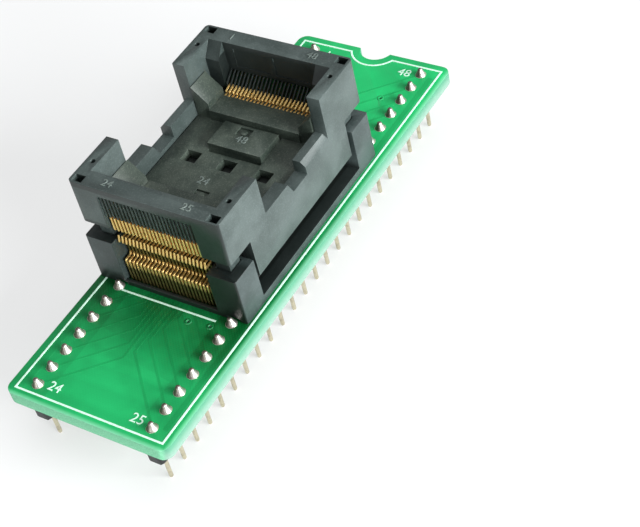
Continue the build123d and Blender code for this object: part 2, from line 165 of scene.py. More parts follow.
class Wire:
    """One output in a node tree. Arithmetic on it adds Math nodes."""

    def __init__(self, paint: "Paint", socket: Any) -> None:
        """Keeps the socket and the paint that it belongs to."""
        self.paint = paint
        self.socket = socket

    def _math(self, operation: str, *values: Any) -> "Wire":
        """Adds one Math node and returns its output."""
        return self.paint.node("ShaderNodeMath", {"operation": operation}, dict(enumerate(values)))

    def __add__(self, other: Any) -> "Wire":
        """Sum."""
        return self._math("ADD", self, other)

    __radd__ = __add__

    def __sub__(self, other: Any) -> "Wire":
        """Difference."""
        return self._math("SUBTRACT", self, other)

    def __rsub__(self, other: Any) -> "Wire":
        """Difference with the value on the left."""
        return self._math("SUBTRACT", other, self)

    def __mul__(self, other: Any) -> "Wire":
        """Product."""
        return self._math("MULTIPLY", self, other)

    __rmul__ = __mul__

    def larger(self, *others: Any) -> "Wire":
        """The largest of this value and the others.

        Args:
            others: Values or wires.

        Returns:
            The largest.
        """
        result = self
        for other in others:
            result = self._math("MAXIMUM", result, other)
        return result

    def size(self) -> "Wire":
        """Absolute value."""
        return self._math("ABSOLUTE", self)

    def wave(self, length: float) -> "Wire":
        """Sine that repeats after the given length."""
        return self._math("SINE", self * (2.0 * math.pi / length))

    def ramp(self, low: float, high: float, start: float = 0.0, stop: float = 1.0) -> "Wire":
        """Smooth step.

        Args:
            low: Value at which the result is start.
            high: Value at which the result is stop, above or below low.
            start: First result.
            stop: Last result.

        Returns:
            The result, which stays at start and stop beyond the two values.
        """
        return self.paint.node(
            "ShaderNodeMapRange",
            {"interpolation_type": "SMOOTHSTEP", "clamp": True},
            {"Value": self, "From Min": low, "From Max": high, "To Min": start, "To Max": stop},
        )

    def below(self, edge: float, blur: float = 0.05) -> "Wire":
        """One below the edge and zero above it, with a soft step."""
        return self.ramp(edge - blur, edge + blur, 1.0, 0.0)


class Paint:
    """A material whose nodes are being put together."""

    def __init__(self, name: str) -> None:
        """Starts an empty material with a Principled shader.

        Args:
            name: Name of the material.
        """
        self.material = bpy.data.materials.new(name)
        self.material.use_nodes = True
        self.tree = self.material.node_tree
        self.tree.nodes.clear()
        self.output = self.tree.nodes.new("ShaderNodeOutputMaterial")
        self.shader = self.tree.nodes.new("ShaderNodeBsdfPrincipled")
        self.tree.links.new(self.shader.outputs[0], self.output.inputs["Surface"])

    def node(
        self,
        kind: str,
        settings: dict[str, Any] | None = None,
        inputs: dict[Any, Any] | None = None,
        result: Any = 0,
    ) -> Wire:
        """Adds one node.

        Args:
            kind: The node's type.
            settings: Its own properties, set before its sockets.
            inputs: Values or wires, by socket name or number.
            result: The output to return, by name or number.

        Returns:
            The chosen output.
        """
        made = self.tree.nodes.new(kind)
        for key, value in (settings or {}).items():
            setattr(made, key, value)
        for key, value in (inputs or {}).items():
            self.feed(made.inputs[key], value)
        return Wire(self, made.outputs[result])

    def feed(self, target: Any, value: Any) -> None:
        """Links a wire to a socket, or sets the socket's own value.

        Args:
            target: The input socket.
            value: The wire or the value.
        """
        if isinstance(value, Wire):
            self.tree.links.new(value.socket, target)
        else:
            target.default_value = value

    def placed(self, scale: Sequence[float], shift: Sequence[float] = (0.0, 0.0, 0.0)) -> Wire:
        """Object coordinates times a scale, plus a shift.

        Args:
            scale: Factors by axis.
            shift: What is added after the scaling.

        Returns:
            The placed coordinates.
        """
        place = self.node("ShaderNodeTexCoord", result="Object")
        inputs = {"Vector": place, "Scale": scale, "Location": shift}
        return self.node("ShaderNodeMapping", None, inputs)

    def parts(self, vector: Wire) -> tuple[Wire, ...]:
        """The three parts of a vector."""
        split = self.node("ShaderNodeSeparateXYZ", None, {0: vector}).socket.node
        return tuple(Wire(self, output) for output in split.outputs)

    def axes(self, origin: Sequence[float] = (0.0, 0.0, 0.0)) -> tuple[Wire, ...]:
        """Object coordinates in millimetres from an origin, apart."""
        return self.parts(self.placed([1.0 / MM] * 3, [-part for part in origin]))

    def facing(self) -> tuple[Wire, ...]:
        """The three parts of the surface normal."""
        return self.parts(self.node("ShaderNodeNewGeometry", result="Normal"))

    def noise(
        self,
        size: float,
        detail: float = 2.0,
        rough: float = 0.5,
        streaks: Sequence[float] = (1.0, 1.0, 1.0),
    ) -> Wire:
        """Cloud pattern.

        Args:
            size: Width of a blob in millimetres.
            detail: Number of finer layers.
            rough: Strength of the finer layers.
            streaks: Scale by axis. A small one draws the blobs out along it.

        Returns:
            The pattern, about 0.3 to 0.7.
        """
        inputs = {
            "Vector": self.placed(streaks),
            "Scale": 1.0 / (size * MM),
            "Detail": detail,
            "Roughness": rough,
        }
        return self.node("ShaderNodeTexNoise", None, inputs)

    def blend(self, share: Any, first: Any, second: Any) -> Wire:
        """Mixes two colours."""
        inputs = {0: share, 6: first, 7: second}
        return self.node("ShaderNodeMix", {"data_type": "RGBA"}, inputs, 2)

    def relief(self, height: Wire, depth: float) -> Wire:
        """Bump normal of a height pattern, its depth in millimetres."""
        inputs = {"Height": height, "Distance": depth * MM, "Strength": 1.0}
        return self.node("ShaderNodeBump", None, inputs)

    def finish(self, **values: Any) -> bpy.types.Material:
        """Feeds the Principled shader.

        Args:
            values: Values or wires by socket name, with _ for a space.

        Returns:
            The finished material.
        """
        for key, value in values.items():
            self.feed(self.shader.inputs[key.replace("_", " ")], value)
        return self.material


def shade(red: float, green: float, blue: float) -> Colour:
    """A colour from screen values c of 0 to 255, each made linear as (c / 255)^2.2."""
    linear = [(part / 255.0) ** 2.2 for part in (red, green, blue)]
    return (linear[0], linear[1], linear[2], 1.0)


# Near black for the painted shade and painted reflection on the plastics
SHADE_BLACK = shade(16, 22, 20)


@dataclass(frozen=True)
class MouldedPlastic:
    """Dark glass filled plastic with a spark eroded grain.

    Shares of black, by place and by normal, are painted shade in the contact
    trenches, at the foot, on the post tops and inside the cover, and a painted
    reflection of the dark room in front of the socket on its front faces. Their
    limits are in millimetres from the socket's middle on the board.
    """

    name: str
    dark: Colour
    light: Colour
    grain: float = 0.16
    grain_depth: float = 0.012
    speckle: float = 0.35
    dust: Colour = (0.17, 0.2, 0.19, 1.0)
    recess: Point | None = None
    front_shade: float = 0.0
    inner_shade: float = 0.0
    roughness: float = 0.44
    deep_share: float = 0.85
    foot: Point = (0.9, 2.2)
    post_tops: Point = (-11.0, -12.0)
    front_ends: Point = (8.5, -7.0)
    window_half: float = 6.35
    window_top: float = 13.25
    rim: Point = (13.75, 14.0)
    under: Point = (7.6, 8.4)
    under_top: float = 9.05
    detail_share: float = 0.6
    ribs: Point = (9.25, 13.15)
    rib_fade: float = 0.25

    def build(self) -> bpy.types.Material:
        """Mixes two greys by grain, adds flow marks, dust, and painted shade and reflection.

        Returns:
            The material.
        """
        paint = Paint(self.name)
        grain = paint.noise(self.grain, 3.0, 0.6)
        fine = paint.noise(self.grain * 0.4, 2.0, 0.6)
        flow = paint.noise(3.5, 3.0, 0.55)
        upward = paint.facing()[2].ramp(0.2, 0.9)
        dust = paint.noise(0.5, 4.0, 0.7).ramp(0.56, 0.74) * upward * 0.3
        spots = grain.ramp(0.5, 0.68) * self.speckle * (0.55 + flow * 0.9)
        colour = paint.blend(spots, self.dark, self.light)
        colour = paint.blend(flow.ramp(0.35, 0.7, 0.0, 0.35), colour, self.light)
        colour = paint.blend(dust, colour, self.dust)
        # Painted shade and painted reflection, mixed towards near black
        for share in self.shade_and_reflection_shares(paint):
            colour = paint.blend(share, colour, SHADE_BLACK)
        return paint.finish(
            Base_Color=colour,
            Roughness=self.roughness + flow * 0.12 + fine * 0.08 - 0.1,
            Normal=paint.relief(grain * 0.65 + fine * 0.35, self.grain_depth),
        )

    def shade_and_reflection_shares(self, paint: Paint) -> list[Wire]:
        """Shares of black for painted shade and a painted reflection of the dark room.

        Args:
            paint: The material that is being built.

        Returns:
            One share for each kind of place that this plastic has.
        """
        x, y, z = paint.axes(SOCKET)
        to_x, to_y, to_z = paint.facing()
        shares = []
        if self.recess:
            # Painted shade in the contact trenches, at the foot of the right faces and on
            # the front post tops under the cover
            trench = (x.size() - self.recess[0]).larger(y.size() - self.recess[1]).below(0.0)
            foot = z.ramp(*self.foot, self.deep_share, 0.0) * to_y.ramp(-0.8, -0.3)
            tops = to_z.ramp(0.3, 0.8) * x.ramp(*self.post_tops) * self.deep_share
            shares.append(trench.larger(foot, tops))
        if self.front_shade:
            # Painted reflection and shade on the outer front faces: darker to the right,
            # in the window, at the rim and where the cover ends
            front = to_x.ramp(-0.4, -0.7) * x.ramp(-8.0, -9.0)
            across = y.ramp(*self.front_ends) * self.front_shade
            window = (y.size() - self.window_half).larger(z - self.window_top).below(0.0)
            rim = z.ramp(*self.rim, 0.0, self.detail_share)
            under = z.ramp(*self.under, 0.0, self.detail_share) * z.below(self.under_top)
            shares.append(front * across.larger(window * self.detail_share, rim, under))
        if self.inner_shade:
            # Painted shade on the inner faces of the right wall and the rear window, and its ribs
            wall = to_y.ramp(0.5, 0.85) * y.ramp(0.0, -1.0)
            rear = to_x.ramp(-0.5, -0.85) * x.ramp(8.0, 9.0)
            window = (y.size() - self.window_half).larger(z - self.window_top).below(0.05)
            near, far = self.ribs
            ribs = x.ramp(near - self.rib_fade, near + self.rib_fade) * x.below(far) * window
            shares.append(wall.larger(rear, ribs) * self.inner_shade)
        return shares


@dataclass(frozen=True)
class SolderMask:
    """Green lacquer over laminate or copper, with the cut edge of the board."""

    name: str
    deep: Colour
    bright: Colour
    pale: Colour = shade(150, 214, 184)
    clouds: float = 5.0
    weave: Point = (0.45, 0.38)
    ink_line: Point = (30.5, 9.85)
    rear_end: Point = (-12.0, 30.0)
    front_end: Point = (-14.5, -26.0)
    middle_half: float = 5.9

    def build(self) -> bpy.types.Material:
        """Clouds two greens, shows the weave faintly and bares the edge.

        The lacquer brightens towards both ends of the board, a painted light that leaves
        painted shade round the socket, and in its middle. Beyond the ink line, on the
        lit front and right sides only, a painted highlight turns it pale towards the edge.

        Returns:
            The material.
        """
        paint = Paint(self.name)
        x, y, z = paint.axes()
        _, to_y, to_z = paint.facing()
        clouds = paint.noise(self.clouds, 3.0, 0.55)
        cloth = x.wave(self.weave[0]) * y.wave(self.weave[1])
        # Painted light: brighter towards both ends, away from the socket's painted shade
        ends = x.ramp(*self.rear_end, 0.0, 0.6) + x.ramp(*self.front_end, 0.0, 0.4)
        tone = clouds.ramp(0.32, 0.68) * 0.14 + ends + y.size().below(self.middle_half) * 0.08
        # Painted highlight beyond the ink line on the lit front and right sides, paler to the edge
        beyond = (-self.ink_line[0] - x).larger(-self.ink_line[1] - y)
        outside = beyond.ramp(-0.1, 0.6) * x.ramp(-18.0, -26.0, 0.27, 0.55)
        green = paint.blend(tone.larger(outside), self.deep, self.bright)
        green = paint.blend(beyond.ramp(0.3, 0.95) * 0.55, green, self.pale)
        woven = paint.blend((cloth * 0.5 + 0.5) * 0.1, green, self.bright)
        edge = 1.0 - to_z.size().ramp(0.3, 0.7)
        peel = paint.noise(0.9, 2.0, 0.5) * 0.7 + cloth * 0.12
        return paint.finish(
            Base_Color=paint.blend(edge, woven, self.cut_edge(paint, z, to_y)),
            Roughness=0.26 + clouds * 0.12 + edge * 0.4,
            Specular_IOR_Level=0.28,
            Normal=paint.relief(peel, 0.006),
        )

    def cut_edge(self, paint: Paint, z: Wire, to_y: Wire) -> Wire:
        """Colour of the bare laminate at the board's edge.

        Args:
            paint: The material that is being built.
            z: Height in millimetres.
            to_y: The normal's part along Y.

        Returns:
            Layered green with pits, and on the right side, lit the most, a painted
            darker and greyer tone that pales towards the bottom.
        """
        dark, light = shade(96, 168, 128), shade(124, 192, 154)
        layers = paint.blend(z.wave(0.2).ramp(-0.6, 0.8), dark, light)
        pits = paint.noise(0.2, 3.0, 0.6).ramp(0.4, 0.75, 0.0, 0.5)
        pitted = paint.blend(pits, layers, shade(150, 208, 176))
        # Painted: the most lit right side gets a darker, greyer colour, paler downwards
        lower = z.ramp(LAYOUT.board_top, LAYOUT.board_bottom)
        lit = paint.blend(lower, shade(74, 130, 104), shade(122, 150, 136))
        return paint.blend(to_y.ramp(-0.3, -0.8), pitted, lit)


@dataclass(frozen=True)
class PrintedInk:
    """White epoxy ink of the board's printed lines and numbers."""

    name: str

    def build(self) -> bpy.types.Material:
        """Mint white, thinner and greener where the ink is starved.

        Returns:
            The material.
        """
        paint = Paint(self.name)
        starved = paint.noise(0.35, 4.0, 0.65).ramp(0.5, 0.72)
        return paint.finish(
            Base_Color=paint.blend(starved * 0.45, shade(214, 246, 228), shade(126, 208, 160)),
            Roughness=0.5 + starved * 0.15,
            Normal=paint.relief(paint.noise(0.2), 0.008),
        )


@dataclass(frozen=True)
class WorkedMetal:
    """Metal with streaks along one axis and cloudy tarnish."""

    name: str
    clean: Colour
    tarnish: Colour
    roughness: float
    streaks: tuple[float, float, float]
    tarnish_share: float = 0.5

    def build(self) -> bpy.types.Material:
        """Mixes clean and tarnished metal, and scratches it along the streaks.

        Returns:
            The material.
        """
        paint = Paint(self.name)
        lines = paint.noise(0.05, streaks=self.streaks)
        share = paint.noise(0.8, 3.0, 0.6).ramp(0.42, 0.72) * self.tarnish_share
        return paint.finish(
            Base_Color=paint.blend(share + lines.ramp(0.5, 0.8) * 0.15, self.clean, self.tarnish),
            Metallic=1.0,
            Roughness=self.roughness + share * 0.3 + lines * 0.08,
            Normal=paint.relief(lines, 0.002),
        )


@dataclass(frozen=True)
class ContactGold:
    """Thin gold over a stamped alloy, with painted highlights and painted shade by height."""

    name: str
    bright: Colour
    worn: Colour
    # Colour of the painted shade, towards which the strip is mixed
    deep: Colour
    painted_shade_most: float = 0.93

    def build(self) -> bpy.types.Material:
        """Painted highlights at the outward bends, painted shade between them and at the cams.

        With h the height over the board in millimetres, the painted highlights run
        from 3.0 to 3.7 (knees) and from 6.5 to 10.0 (hooks and bars), a little
        weaker in the hooks, which end at 7.6, and painted shade fills the rest.

        Returns:
            The material.
        """
        paint = Paint(self.name)
        height = paint.axes(SOCKET)[2]
        clouds = paint.noise(0.8, 3.0, 0.6)
        lines = paint.noise(0.05, streaks=(1.0, 1.0, 0.12))
        # Painted highlights at the knees, hooks and bars; painted shade elsewhere
        knees = height.ramp(2.3, 3.0) * height.ramp(4.2, 3.7)
        hooks = height.ramp(5.9, 6.5) * height.ramp(10.4, 10.0) * height.ramp(7.6, 8.1, 0.75, 1.0)
        plated = paint.blend(clouds.ramp(0.45, 0.75, 0.0, 0.45), self.bright, self.worn)
        painted_shade_share = self.painted_shade_most - knees.larger(hooks) * self.painted_shade_most
        return paint.finish(
            Base_Color=paint.blend(painted_shade_share, plated, self.deep),
            Metallic=1.0,
            Roughness=0.4 + clouds * 0.12 + lines * 0.08,
            Normal=paint.relief(lines, 0.002),
        )


@dataclass(frozen=True)
class SolderMetal:
    """Bright solder, frosted where it cooled last, with a brown flux line."""

    name: str
    foot: float
    upward: float = 1.0

    def build(self) -> bpy.types.Material:
        """Bright solder, stained by flux at its foot, with painted shade on its left side.

        Returns:
            The material.
        """
        paint = Paint(self.name)
        height = paint.axes((0.0, 0.0, self.foot))[2] * self.upward
        frost = paint.noise(0.5).ramp(0.45, 0.75)
        flux = height.ramp(0.02, 0.16, 1.0, 0.0) * paint.noise(0.5).ramp(0.35, 0.6)
        # Painted shade on the left side, which faces away from the lamps
        left = paint.facing()[1].ramp(-0.75, -0.05)
        metal = paint.blend(frost * 0.4, shade(196, 190, 184), shade(160, 154, 148))
        shaded = paint.blend(left * 0.85, metal, shade(96, 84, 76))
        return paint.finish(
            Base_Color=paint.blend(flux * 0.7, shaded, shade(128, 92, 72)),
            Metallic=0.9 - flux * 0.5,
            Roughness=0.38 + frost * 0.06 + flux * 0.2,
        )


@dataclass(frozen=True)
class Backdrop:
    """White studio paper for the floor, which keeps the shadow of the part."""

    name: str
    glow: float = 0.6

    def build(self) -> bpy.types.Material:
        """Even off white, lifted to white where it is seen or mirrored.

        Returns:
            The material.
        """
        paint = Paint(self.name)
        colour = paint.blend(paint.noise(18.0), shade(238, 239, 239), shade(244, 244, 244))
        paper = paint.finish(Base_Color=colour, Roughness=0.72)
        seen = paint.node("ShaderNodeLightPath", result="Is Camera Ray")
        rays = seen.socket.node.outputs
        mirrored = (Wire(paint, rays[name]) for name in ("Is Glossy Ray", "Is Transmission Ray"))
        seen = seen.larger(*mirrored)
        white = paint.node("ShaderNodeEmission", None, {"Strength": 1.0})
        lit = Wire(paint, paint.shader.outputs[0])
        mixed = paint.node("ShaderNodeMixShader", None, {0: seen * self.glow, 1: lit, 2: white})
        paint.feed(paint.output.inputs["Surface"], mixed)
        return paper


class Finishes:
    """Every material of the part, made once."""

    def __init__(self) -> None:
        """Builds the finishes that the pieces share."""
        self.cover = MouldedPlastic(
            "cover_plastic_moulded", shade(58, 67, 65), shade(92, 102, 100), 0.17, 0.014, 0.4,
            front_shade=0.8, inner_shade=0.8,
        ).build()
        self.nest = MouldedPlastic(
            "nest_plastic_moulded", shade(50, 59, 53), shade(96, 104, 94), 0.15, 0.014, 0.55,
            dust=shade(118, 122, 110),
        ).build()
        self.housing = MouldedPlastic(
            "housing_plastic_moulded", shade(50, 59, 58), shade(84, 94, 93), 0.2, 0.01, 0.3,
            recess=(10.45, 8.6), front_shade=0.92,
        ).build()
        # Raised numbers in a lighter plastic than the mouldings round them
        self.mark = MouldedPlastic(
            "raised_mark_plastic_lighter", shade(92, 102, 98), shade(138, 148, 142), 0.12, 0.006, 0.5
        ).build()
        self.header = MouldedPlastic(
            "header_plastic_moulded", shade(22, 23, 24), shade(52, 54, 55), 0.12, 0.006, 0.3,
            roughness=0.5,
        ).build()
        self.mask = SolderMask("solder_mask_green", shade(4, 68, 26), shade(42, 204, 118)).build()
        self.track = SolderMask(
            "solder_mask_over_copper", shade(3, 62, 23), shade(36, 190, 108)
        ).build()
        self.ink = PrintedInk("printed_ink_white").build()
        # Bright and worn gold, and the colour of the contacts' painted shade
        self.gold = ContactGold(
            "contact_gold_plated", shade(250, 214, 140), shade(204, 144, 70), shade(98, 96, 60)
        ).build()
        self.pin = WorkedMetal(
            "pin_tin_plated", shade(214, 206, 180), shade(150, 142, 122), 0.26, (0.15, 0.15, 1.0)
        ).build()
        self.steel = WorkedMetal(
            "spring_steel_drawn", shade(188, 190, 192), shade(120, 118, 114), 0.28, (0.2, 0.2, 1.0)
        ).build()
        self.pad = WorkedMetal(
            "pad_tinned_copper", shade(214, 214, 206), shade(176, 168, 130), 0.34, (1.0, 1.0, 1.0)
        ).build()
        self.solder = SolderMetal("solder_bright", LAYOUT.board_top).build()
        self.tail_solder = SolderMetal("tail_solder_bright", LAYOUT.board_bottom, -1.0).build()
        self.paper = Backdrop("studio_paper").build()


def linked(name: str, data: Any) -> bpy.types.Object:
    """Puts a new object in the scene.

    Args:
        name: Its name.
        data: Its mesh, curve, light or camera.

    Returns:
        The object.
    """
    made = bpy.data.objects.new(name, data)
    bpy.context.scene.collection.objects.link(made)
    return made


@dataclass
class Mesh:
    """Points and faces of one piece while it is being built."""

    points: list[np.ndarray] = field(default_factory=list)
    faces: list[list[int]] = field(default_factory=list)
    count: int = 0

    def add(self, shell: Shell, places: np.ndarray = ORIGIN) -> None:
        """Appends a closed shell at each of the places.

        Args:
            shell: Its points and faces.
            places: Shifts in metres, one in each row.
        """
        points, faces = shell
        for place in places:
            self.points.append(points + place)
            self.faces.extend([index + self.count for index in face] for face in faces)
            self.count += len(points)

    def object(
        self, name: str, material: bpy.types.Material, smooth: bool = True
    ) -> bpy.types.Object:
        """Turns the gathered shells into an object at the origin.

        Args:
            name: Name of the piece.
            material: Its finish.
            smooth: Whether its faces are shaded smooth.

        Returns:
            The piece.
        """
        data = bpy.data.meshes.new(name)
        data.from_pydata(np.concatenate(self.points).tolist(), [], self.faces)
        data.validate()
        data.update()
        data.polygons.foreach_set("use_smooth", np.full(len(data.polygons), smooth))
        data.materials.append(material)
        return linked(name, data)


def unit(vectors: np.ndarray) -> np.ndarray:
    """The vectors at length one."""
    return vectors / np.linalg.norm(vectors, axis=-1, keepdims=True)


def turned_left(runs: np.ndarray) -> np.ndarray:
    """Flat vectors turned by a right angle, (x, y) to (-y, x)."""
    return np.stack([-runs[:, 1], runs[:, 0]], axis=1)


def round_angles(sides: int) -> np.ndarray:
    """Angles of evenly spaced points, once round."""
    return np.linspace(0.0, 2.0 * math.pi, sides, endpoint=False)


def ring_faces(
    rings: int, sides: int, caps: tuple[bool, bool] = (True, True), joined: bool = False
) -> list[list[int]]:
    """Quads between neighbouring rings of points.

    Args:
        rings: Number of rings.
        sides: Points in each ring, in order round it.
        caps: Whether the first and the last ring get a flat face.
        joined: Whether the last ring meets the first instead, with no caps.

    Returns:
        Lists of point numbers, turned so that the faces look outwards when each
        ring runs anticlockwise about the way from the first ring to the last.
    """
    row = np.arange(rings if joined else rings - 1)[:, None] * sides
    step = np.arange(sides)[None, :]
    ahead = (step + 1) % sides
    following = (row + sides) % (rings * sides)
    quads = np.stack([row + step, row + ahead, following + ahead, following + step], axis=-1)
    faces = quads.reshape(-1, 4).tolist()
    if caps[0] and not joined:
        faces.append(list(range(sides))[::-1])
    if caps[1] and not joined:
        faces.append(list(range((rings - 1) * sides, rings * sides)))
    return faces


def lathe(profile: Sequence[Point], sides: int, joined: bool = False) -> Shell:
    """A turned shape about the Z axis.

    The point at profile step u and angle v is (r(u) cos v, r(u) sin v, z(u)).

    Args:
        profile: Radius and height of each ring, from the lowest to the highest,
            or anticlockwise where the profile is joined.
        sides: Points in each ring.
        joined: Whether the profile closes on itself, as a washer's does.

    Returns:
        Its points and faces.
    """
    radius, height = np.array(profile, float).T[:, :, None]
    angle = round_angles(sides)
    points = points_at(radius * np.cos(angle), radius * np.sin(angle), height)
    return points, ring_faces(len(profile), sides, joined=joined)


def tube(path: np.ndarray, radius: float, sides: int) -> Shell:
    """A round tube along a path.

    The point at path step u and angle v is p(u) + r (n(u) cos v + b(u) sin v),
    where n is the level direction square to the path and b = t x n.

    Args:
        path: Points of its middle line.
        radius: Radius of the tube.
        sides: Points in each ring.

    Returns:
        Its points and faces.
    """
    tangent = unit(np.gradient(path, axis=0))
    level = unit(np.cross(np.array([0.0, 0.0, 1.0]), tangent))
    upward = np.cross(tangent, level)
    angle = round_angles(sides)[None, :, None]
    ring = level[:, None, :] * np.cos(angle) + upward[:, None, :] * np.sin(angle)
    points = (path[:, None, :] + radius * ring).reshape(-1, 3) * MM
    return points, ring_faces(len(path), sides)


def line_band(path: Sequence[Point], width: float, low: float, high: float, closed: bool) -> Shell:
    """A flat printed line with mitred corners and a rounded top edge.

    Each path point p gets the mitre m = (n1 + n2) / (1 + n1.n2) of the normals
    of its two runs, and the band's sides are p + s m w / 2 for s from -1 to 1.

    Args:
        path: Its middle line in X and Y.
        width: Width of the line.
        low: Height of its lower face.
        high: Height of its upper face.
        closed: Whether the line closes on itself.

    Returns:
        Its points and faces.
    """
    middle = np.asarray(path, float)
    ahead = np.roll(middle, -1, axis=0) - middle
    if not closed:
        ahead[-1] = ahead[-2]
    ahead = unit(ahead)
    behind = np.roll(ahead, 1, axis=0)
    if not closed:
        behind[0] = ahead[0]
    first, second = turned_left(ahead), turned_left(behind)
    mitre = (first + second) / (1.0 + np.sum(first * second, axis=1))[:, None]
    inset = min(0.25, 0.6 * (high - low) / width)
    share = np.array([0.5, 0.5, 0.5 - inset, -0.5 + inset, -0.5, -0.5])
    height = low + (high - low) * np.array([0.0, 0.6, 1.0, 1.0, 0.6, 0.0])
    flat = middle[:, None, :] + mitre[:, None, :] * (share * width)[None, :, None]
    faces = ring_faces(len(middle), len(share), joined=closed)
    return points_at(flat[..., 0], flat[..., 1], height), [face[::-1] for face in faces]


def rounded_outline(corners: np.ndarray, radius: float, steps: int = 5) -> np.ndarray:
    """A closed outline with its corners rounded.

    A corner p whose runs are cut at p1 and p2 is replaced by the curve
    (1-t)^2 p1 + 2 t (1-t) p + t^2 p2 for t from 0 to 1.

    Args:
        corners: The sharp outline.
        radius: How far from a corner its runs are cut, where they are long.
        steps: Points on each rounded corner.

    Returns:
        The rounded outline.
    """
    back = np.roll(corners, 1, axis=0) - corners
    forth = np.roll(corners, -1, axis=0) - corners
    shorter = np.minimum(np.linalg.norm(back, axis=1), np.linalg.norm(forth, axis=1))
    cut = np.minimum(radius, 0.42 * shorter)[:, None]
    start, stop = corners + unit(back) * cut, corners + unit(forth) * cut
    t = np.linspace(0.0, 1.0, steps)[None, :, None]
    early, middle, late = (1 - t) ** 2, 2 * t * (1 - t), t**2
    curve = early * start[:, None] + middle * corners[:, None] + late * stop[:, None]
    return curve.reshape(-1, 2)


def stamped(outline: np.ndarray, thickness: float, burr: float) -> Shell:
    """A flat blank cut to an outline in X and Z, with eased edges along Y.

    Ring k is the outline moved inwards by its own ease e(k) at y(k), so the
    cut face is flat and its two edges are rounded over.

    Args:
        outline: The blank's outline.
        thickness: Its thickness along Y.
        burr: Width of the eased edges.

    Returns:
        Its points and faces.
    """
    before = unit(outline - np.roll(outline, 1, axis=0))
    after = unit(np.roll(outline, -1, axis=0) - outline)
    x, z = outline.T
    area = 0.5 * np.sum(x * np.roll(z, -1) - np.roll(x, -1) * z)
    inward = turned_left(unit(before + after)) * np.sign(area)
    ease = np.array([burr, 0.0, 0.0, burr])[:, None, None]
    half = thickness / 2
    y = np.array([-half, burr - half, half - burr, half])[:, None]
    flat = outline[None] + inward[None] * ease
    faces = ring_faces(4, len(outline))
    if area > 0:
        faces = [face[::-1] for face in faces]
    return points_at(flat[..., 0], y, flat[..., 1]), faces


def rounded_copy(
    node: bpy.types.Object,
    name: str,
    material: bpy.types.Material,
    width: float,
    segments: int = 2,
) -> bpy.types.Object:
    """A copy of a frame node with its sharp edges eased by a Bevel modifier.

    Args:
        node: The frame's own object, which stays as it is.
        name: Name of the new piece.
        material: Finish of the new piece.
        width: Width of the eased edge.
        segments: Steps across the eased edge.

    Returns:
        The new piece, with its place in its mesh.
    """
    data = node.data.copy()
    data.name = name
    net = bmesh.new()
    net.from_mesh(data)
    bmesh.ops.remove_doubles(net, verts=net.verts, dist=1e-6)
    bmesh.ops.dissolve_limit(
        net, angle_limit=math.radians(1.0), verts=net.verts, edges=net.edges, delimit=set()
    )
    net.to_mesh(data)
    net.free()
    data.materials.clear()
    data.materials.append(material)
    made = linked(name, data)
    bevel = made.modifiers.new("eased_edges", "BEVEL")
    bevel.width = width * MM
    bevel.segments = segments
    bevel.limit_method = "ANGLE"
    bevel.angle_limit = math.radians(32.0)
    bevel.use_clamp_overlap = True
    bevel.harden_normals = True
    data.polygons.foreach_set("use_smooth", np.full(len(data.polygons), True))
    return made


def raised_numbers(
    name: str,
    material: bpy.types.Material,
    labels: Sequence[tuple[str, float, float, float]],
    height: float,
    rise: float,
) -> bpy.types.Object:
    """Plain numbers as thin closed meshes that read from the front end.

    Args:
        name: Name of the piece.
        material: Its finish.
        labels: Text, X and Y of its middle, and the level that it starts from.
        height: Height of a digit.
        rise: How far the digits reach over their level.

    Returns:
        One piece with all the numbers.
    """
    net = bmesh.new()
    for text, x, y, z in labels:
        curve = bpy.data.curves.new("digits", "FONT")
        curve.body = text
        curve.size = height * 1.38
        curve.align_x = curve.align_y = "CENTER"
        curve.resolution_u = 3
        curve.extrude = 0.5
        holder = linked("digits", curve)
        bpy.context.view_layer.update()
        graph = bpy.context.evaluated_depsgraph_get()
        digits = bpy.data.meshes.new_from_object(holder.evaluated_get(graph))
        bpy.data.objects.remove(holder)
        digits.transform(
            Matrix.Scale(MM, 4)
            @ Matrix.Translation((x, y, z + rise / 2))
            @ Matrix.Rotation(math.radians(-90.0), 4, "Z")
            @ Matrix.Diagonal((1.0, 1.0, rise, 1.0))
        )
        net.from_mesh(digits)
    bmesh.ops.remove_doubles(net, verts=net.verts, dist=2e-7)
    bmesh.ops.recalc_face_normals(net, faces=net.faces)
    data = bpy.data.meshes.new(name)
    net.to_mesh(data)
    net.free()
    data.materials.append(material)
    return linked(name, data)


def settle(piece: bpy.types.Object, body: Body, slot: str, *replaced: str) -> None:
    """Rides a finished piece on its body and hides any frame nodes that it stands for.

    Args:
        piece: The finished object.
        body: The body that it moves with.
        slot: Not used.
        replaced: Frame nodes that it stands for.
    """
    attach(piece, body.value)
    if replaced:
        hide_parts(*replaced)
    log.info("piece %s: %d faces on %s", piece.name, len(piece.data.polygons), body.value)


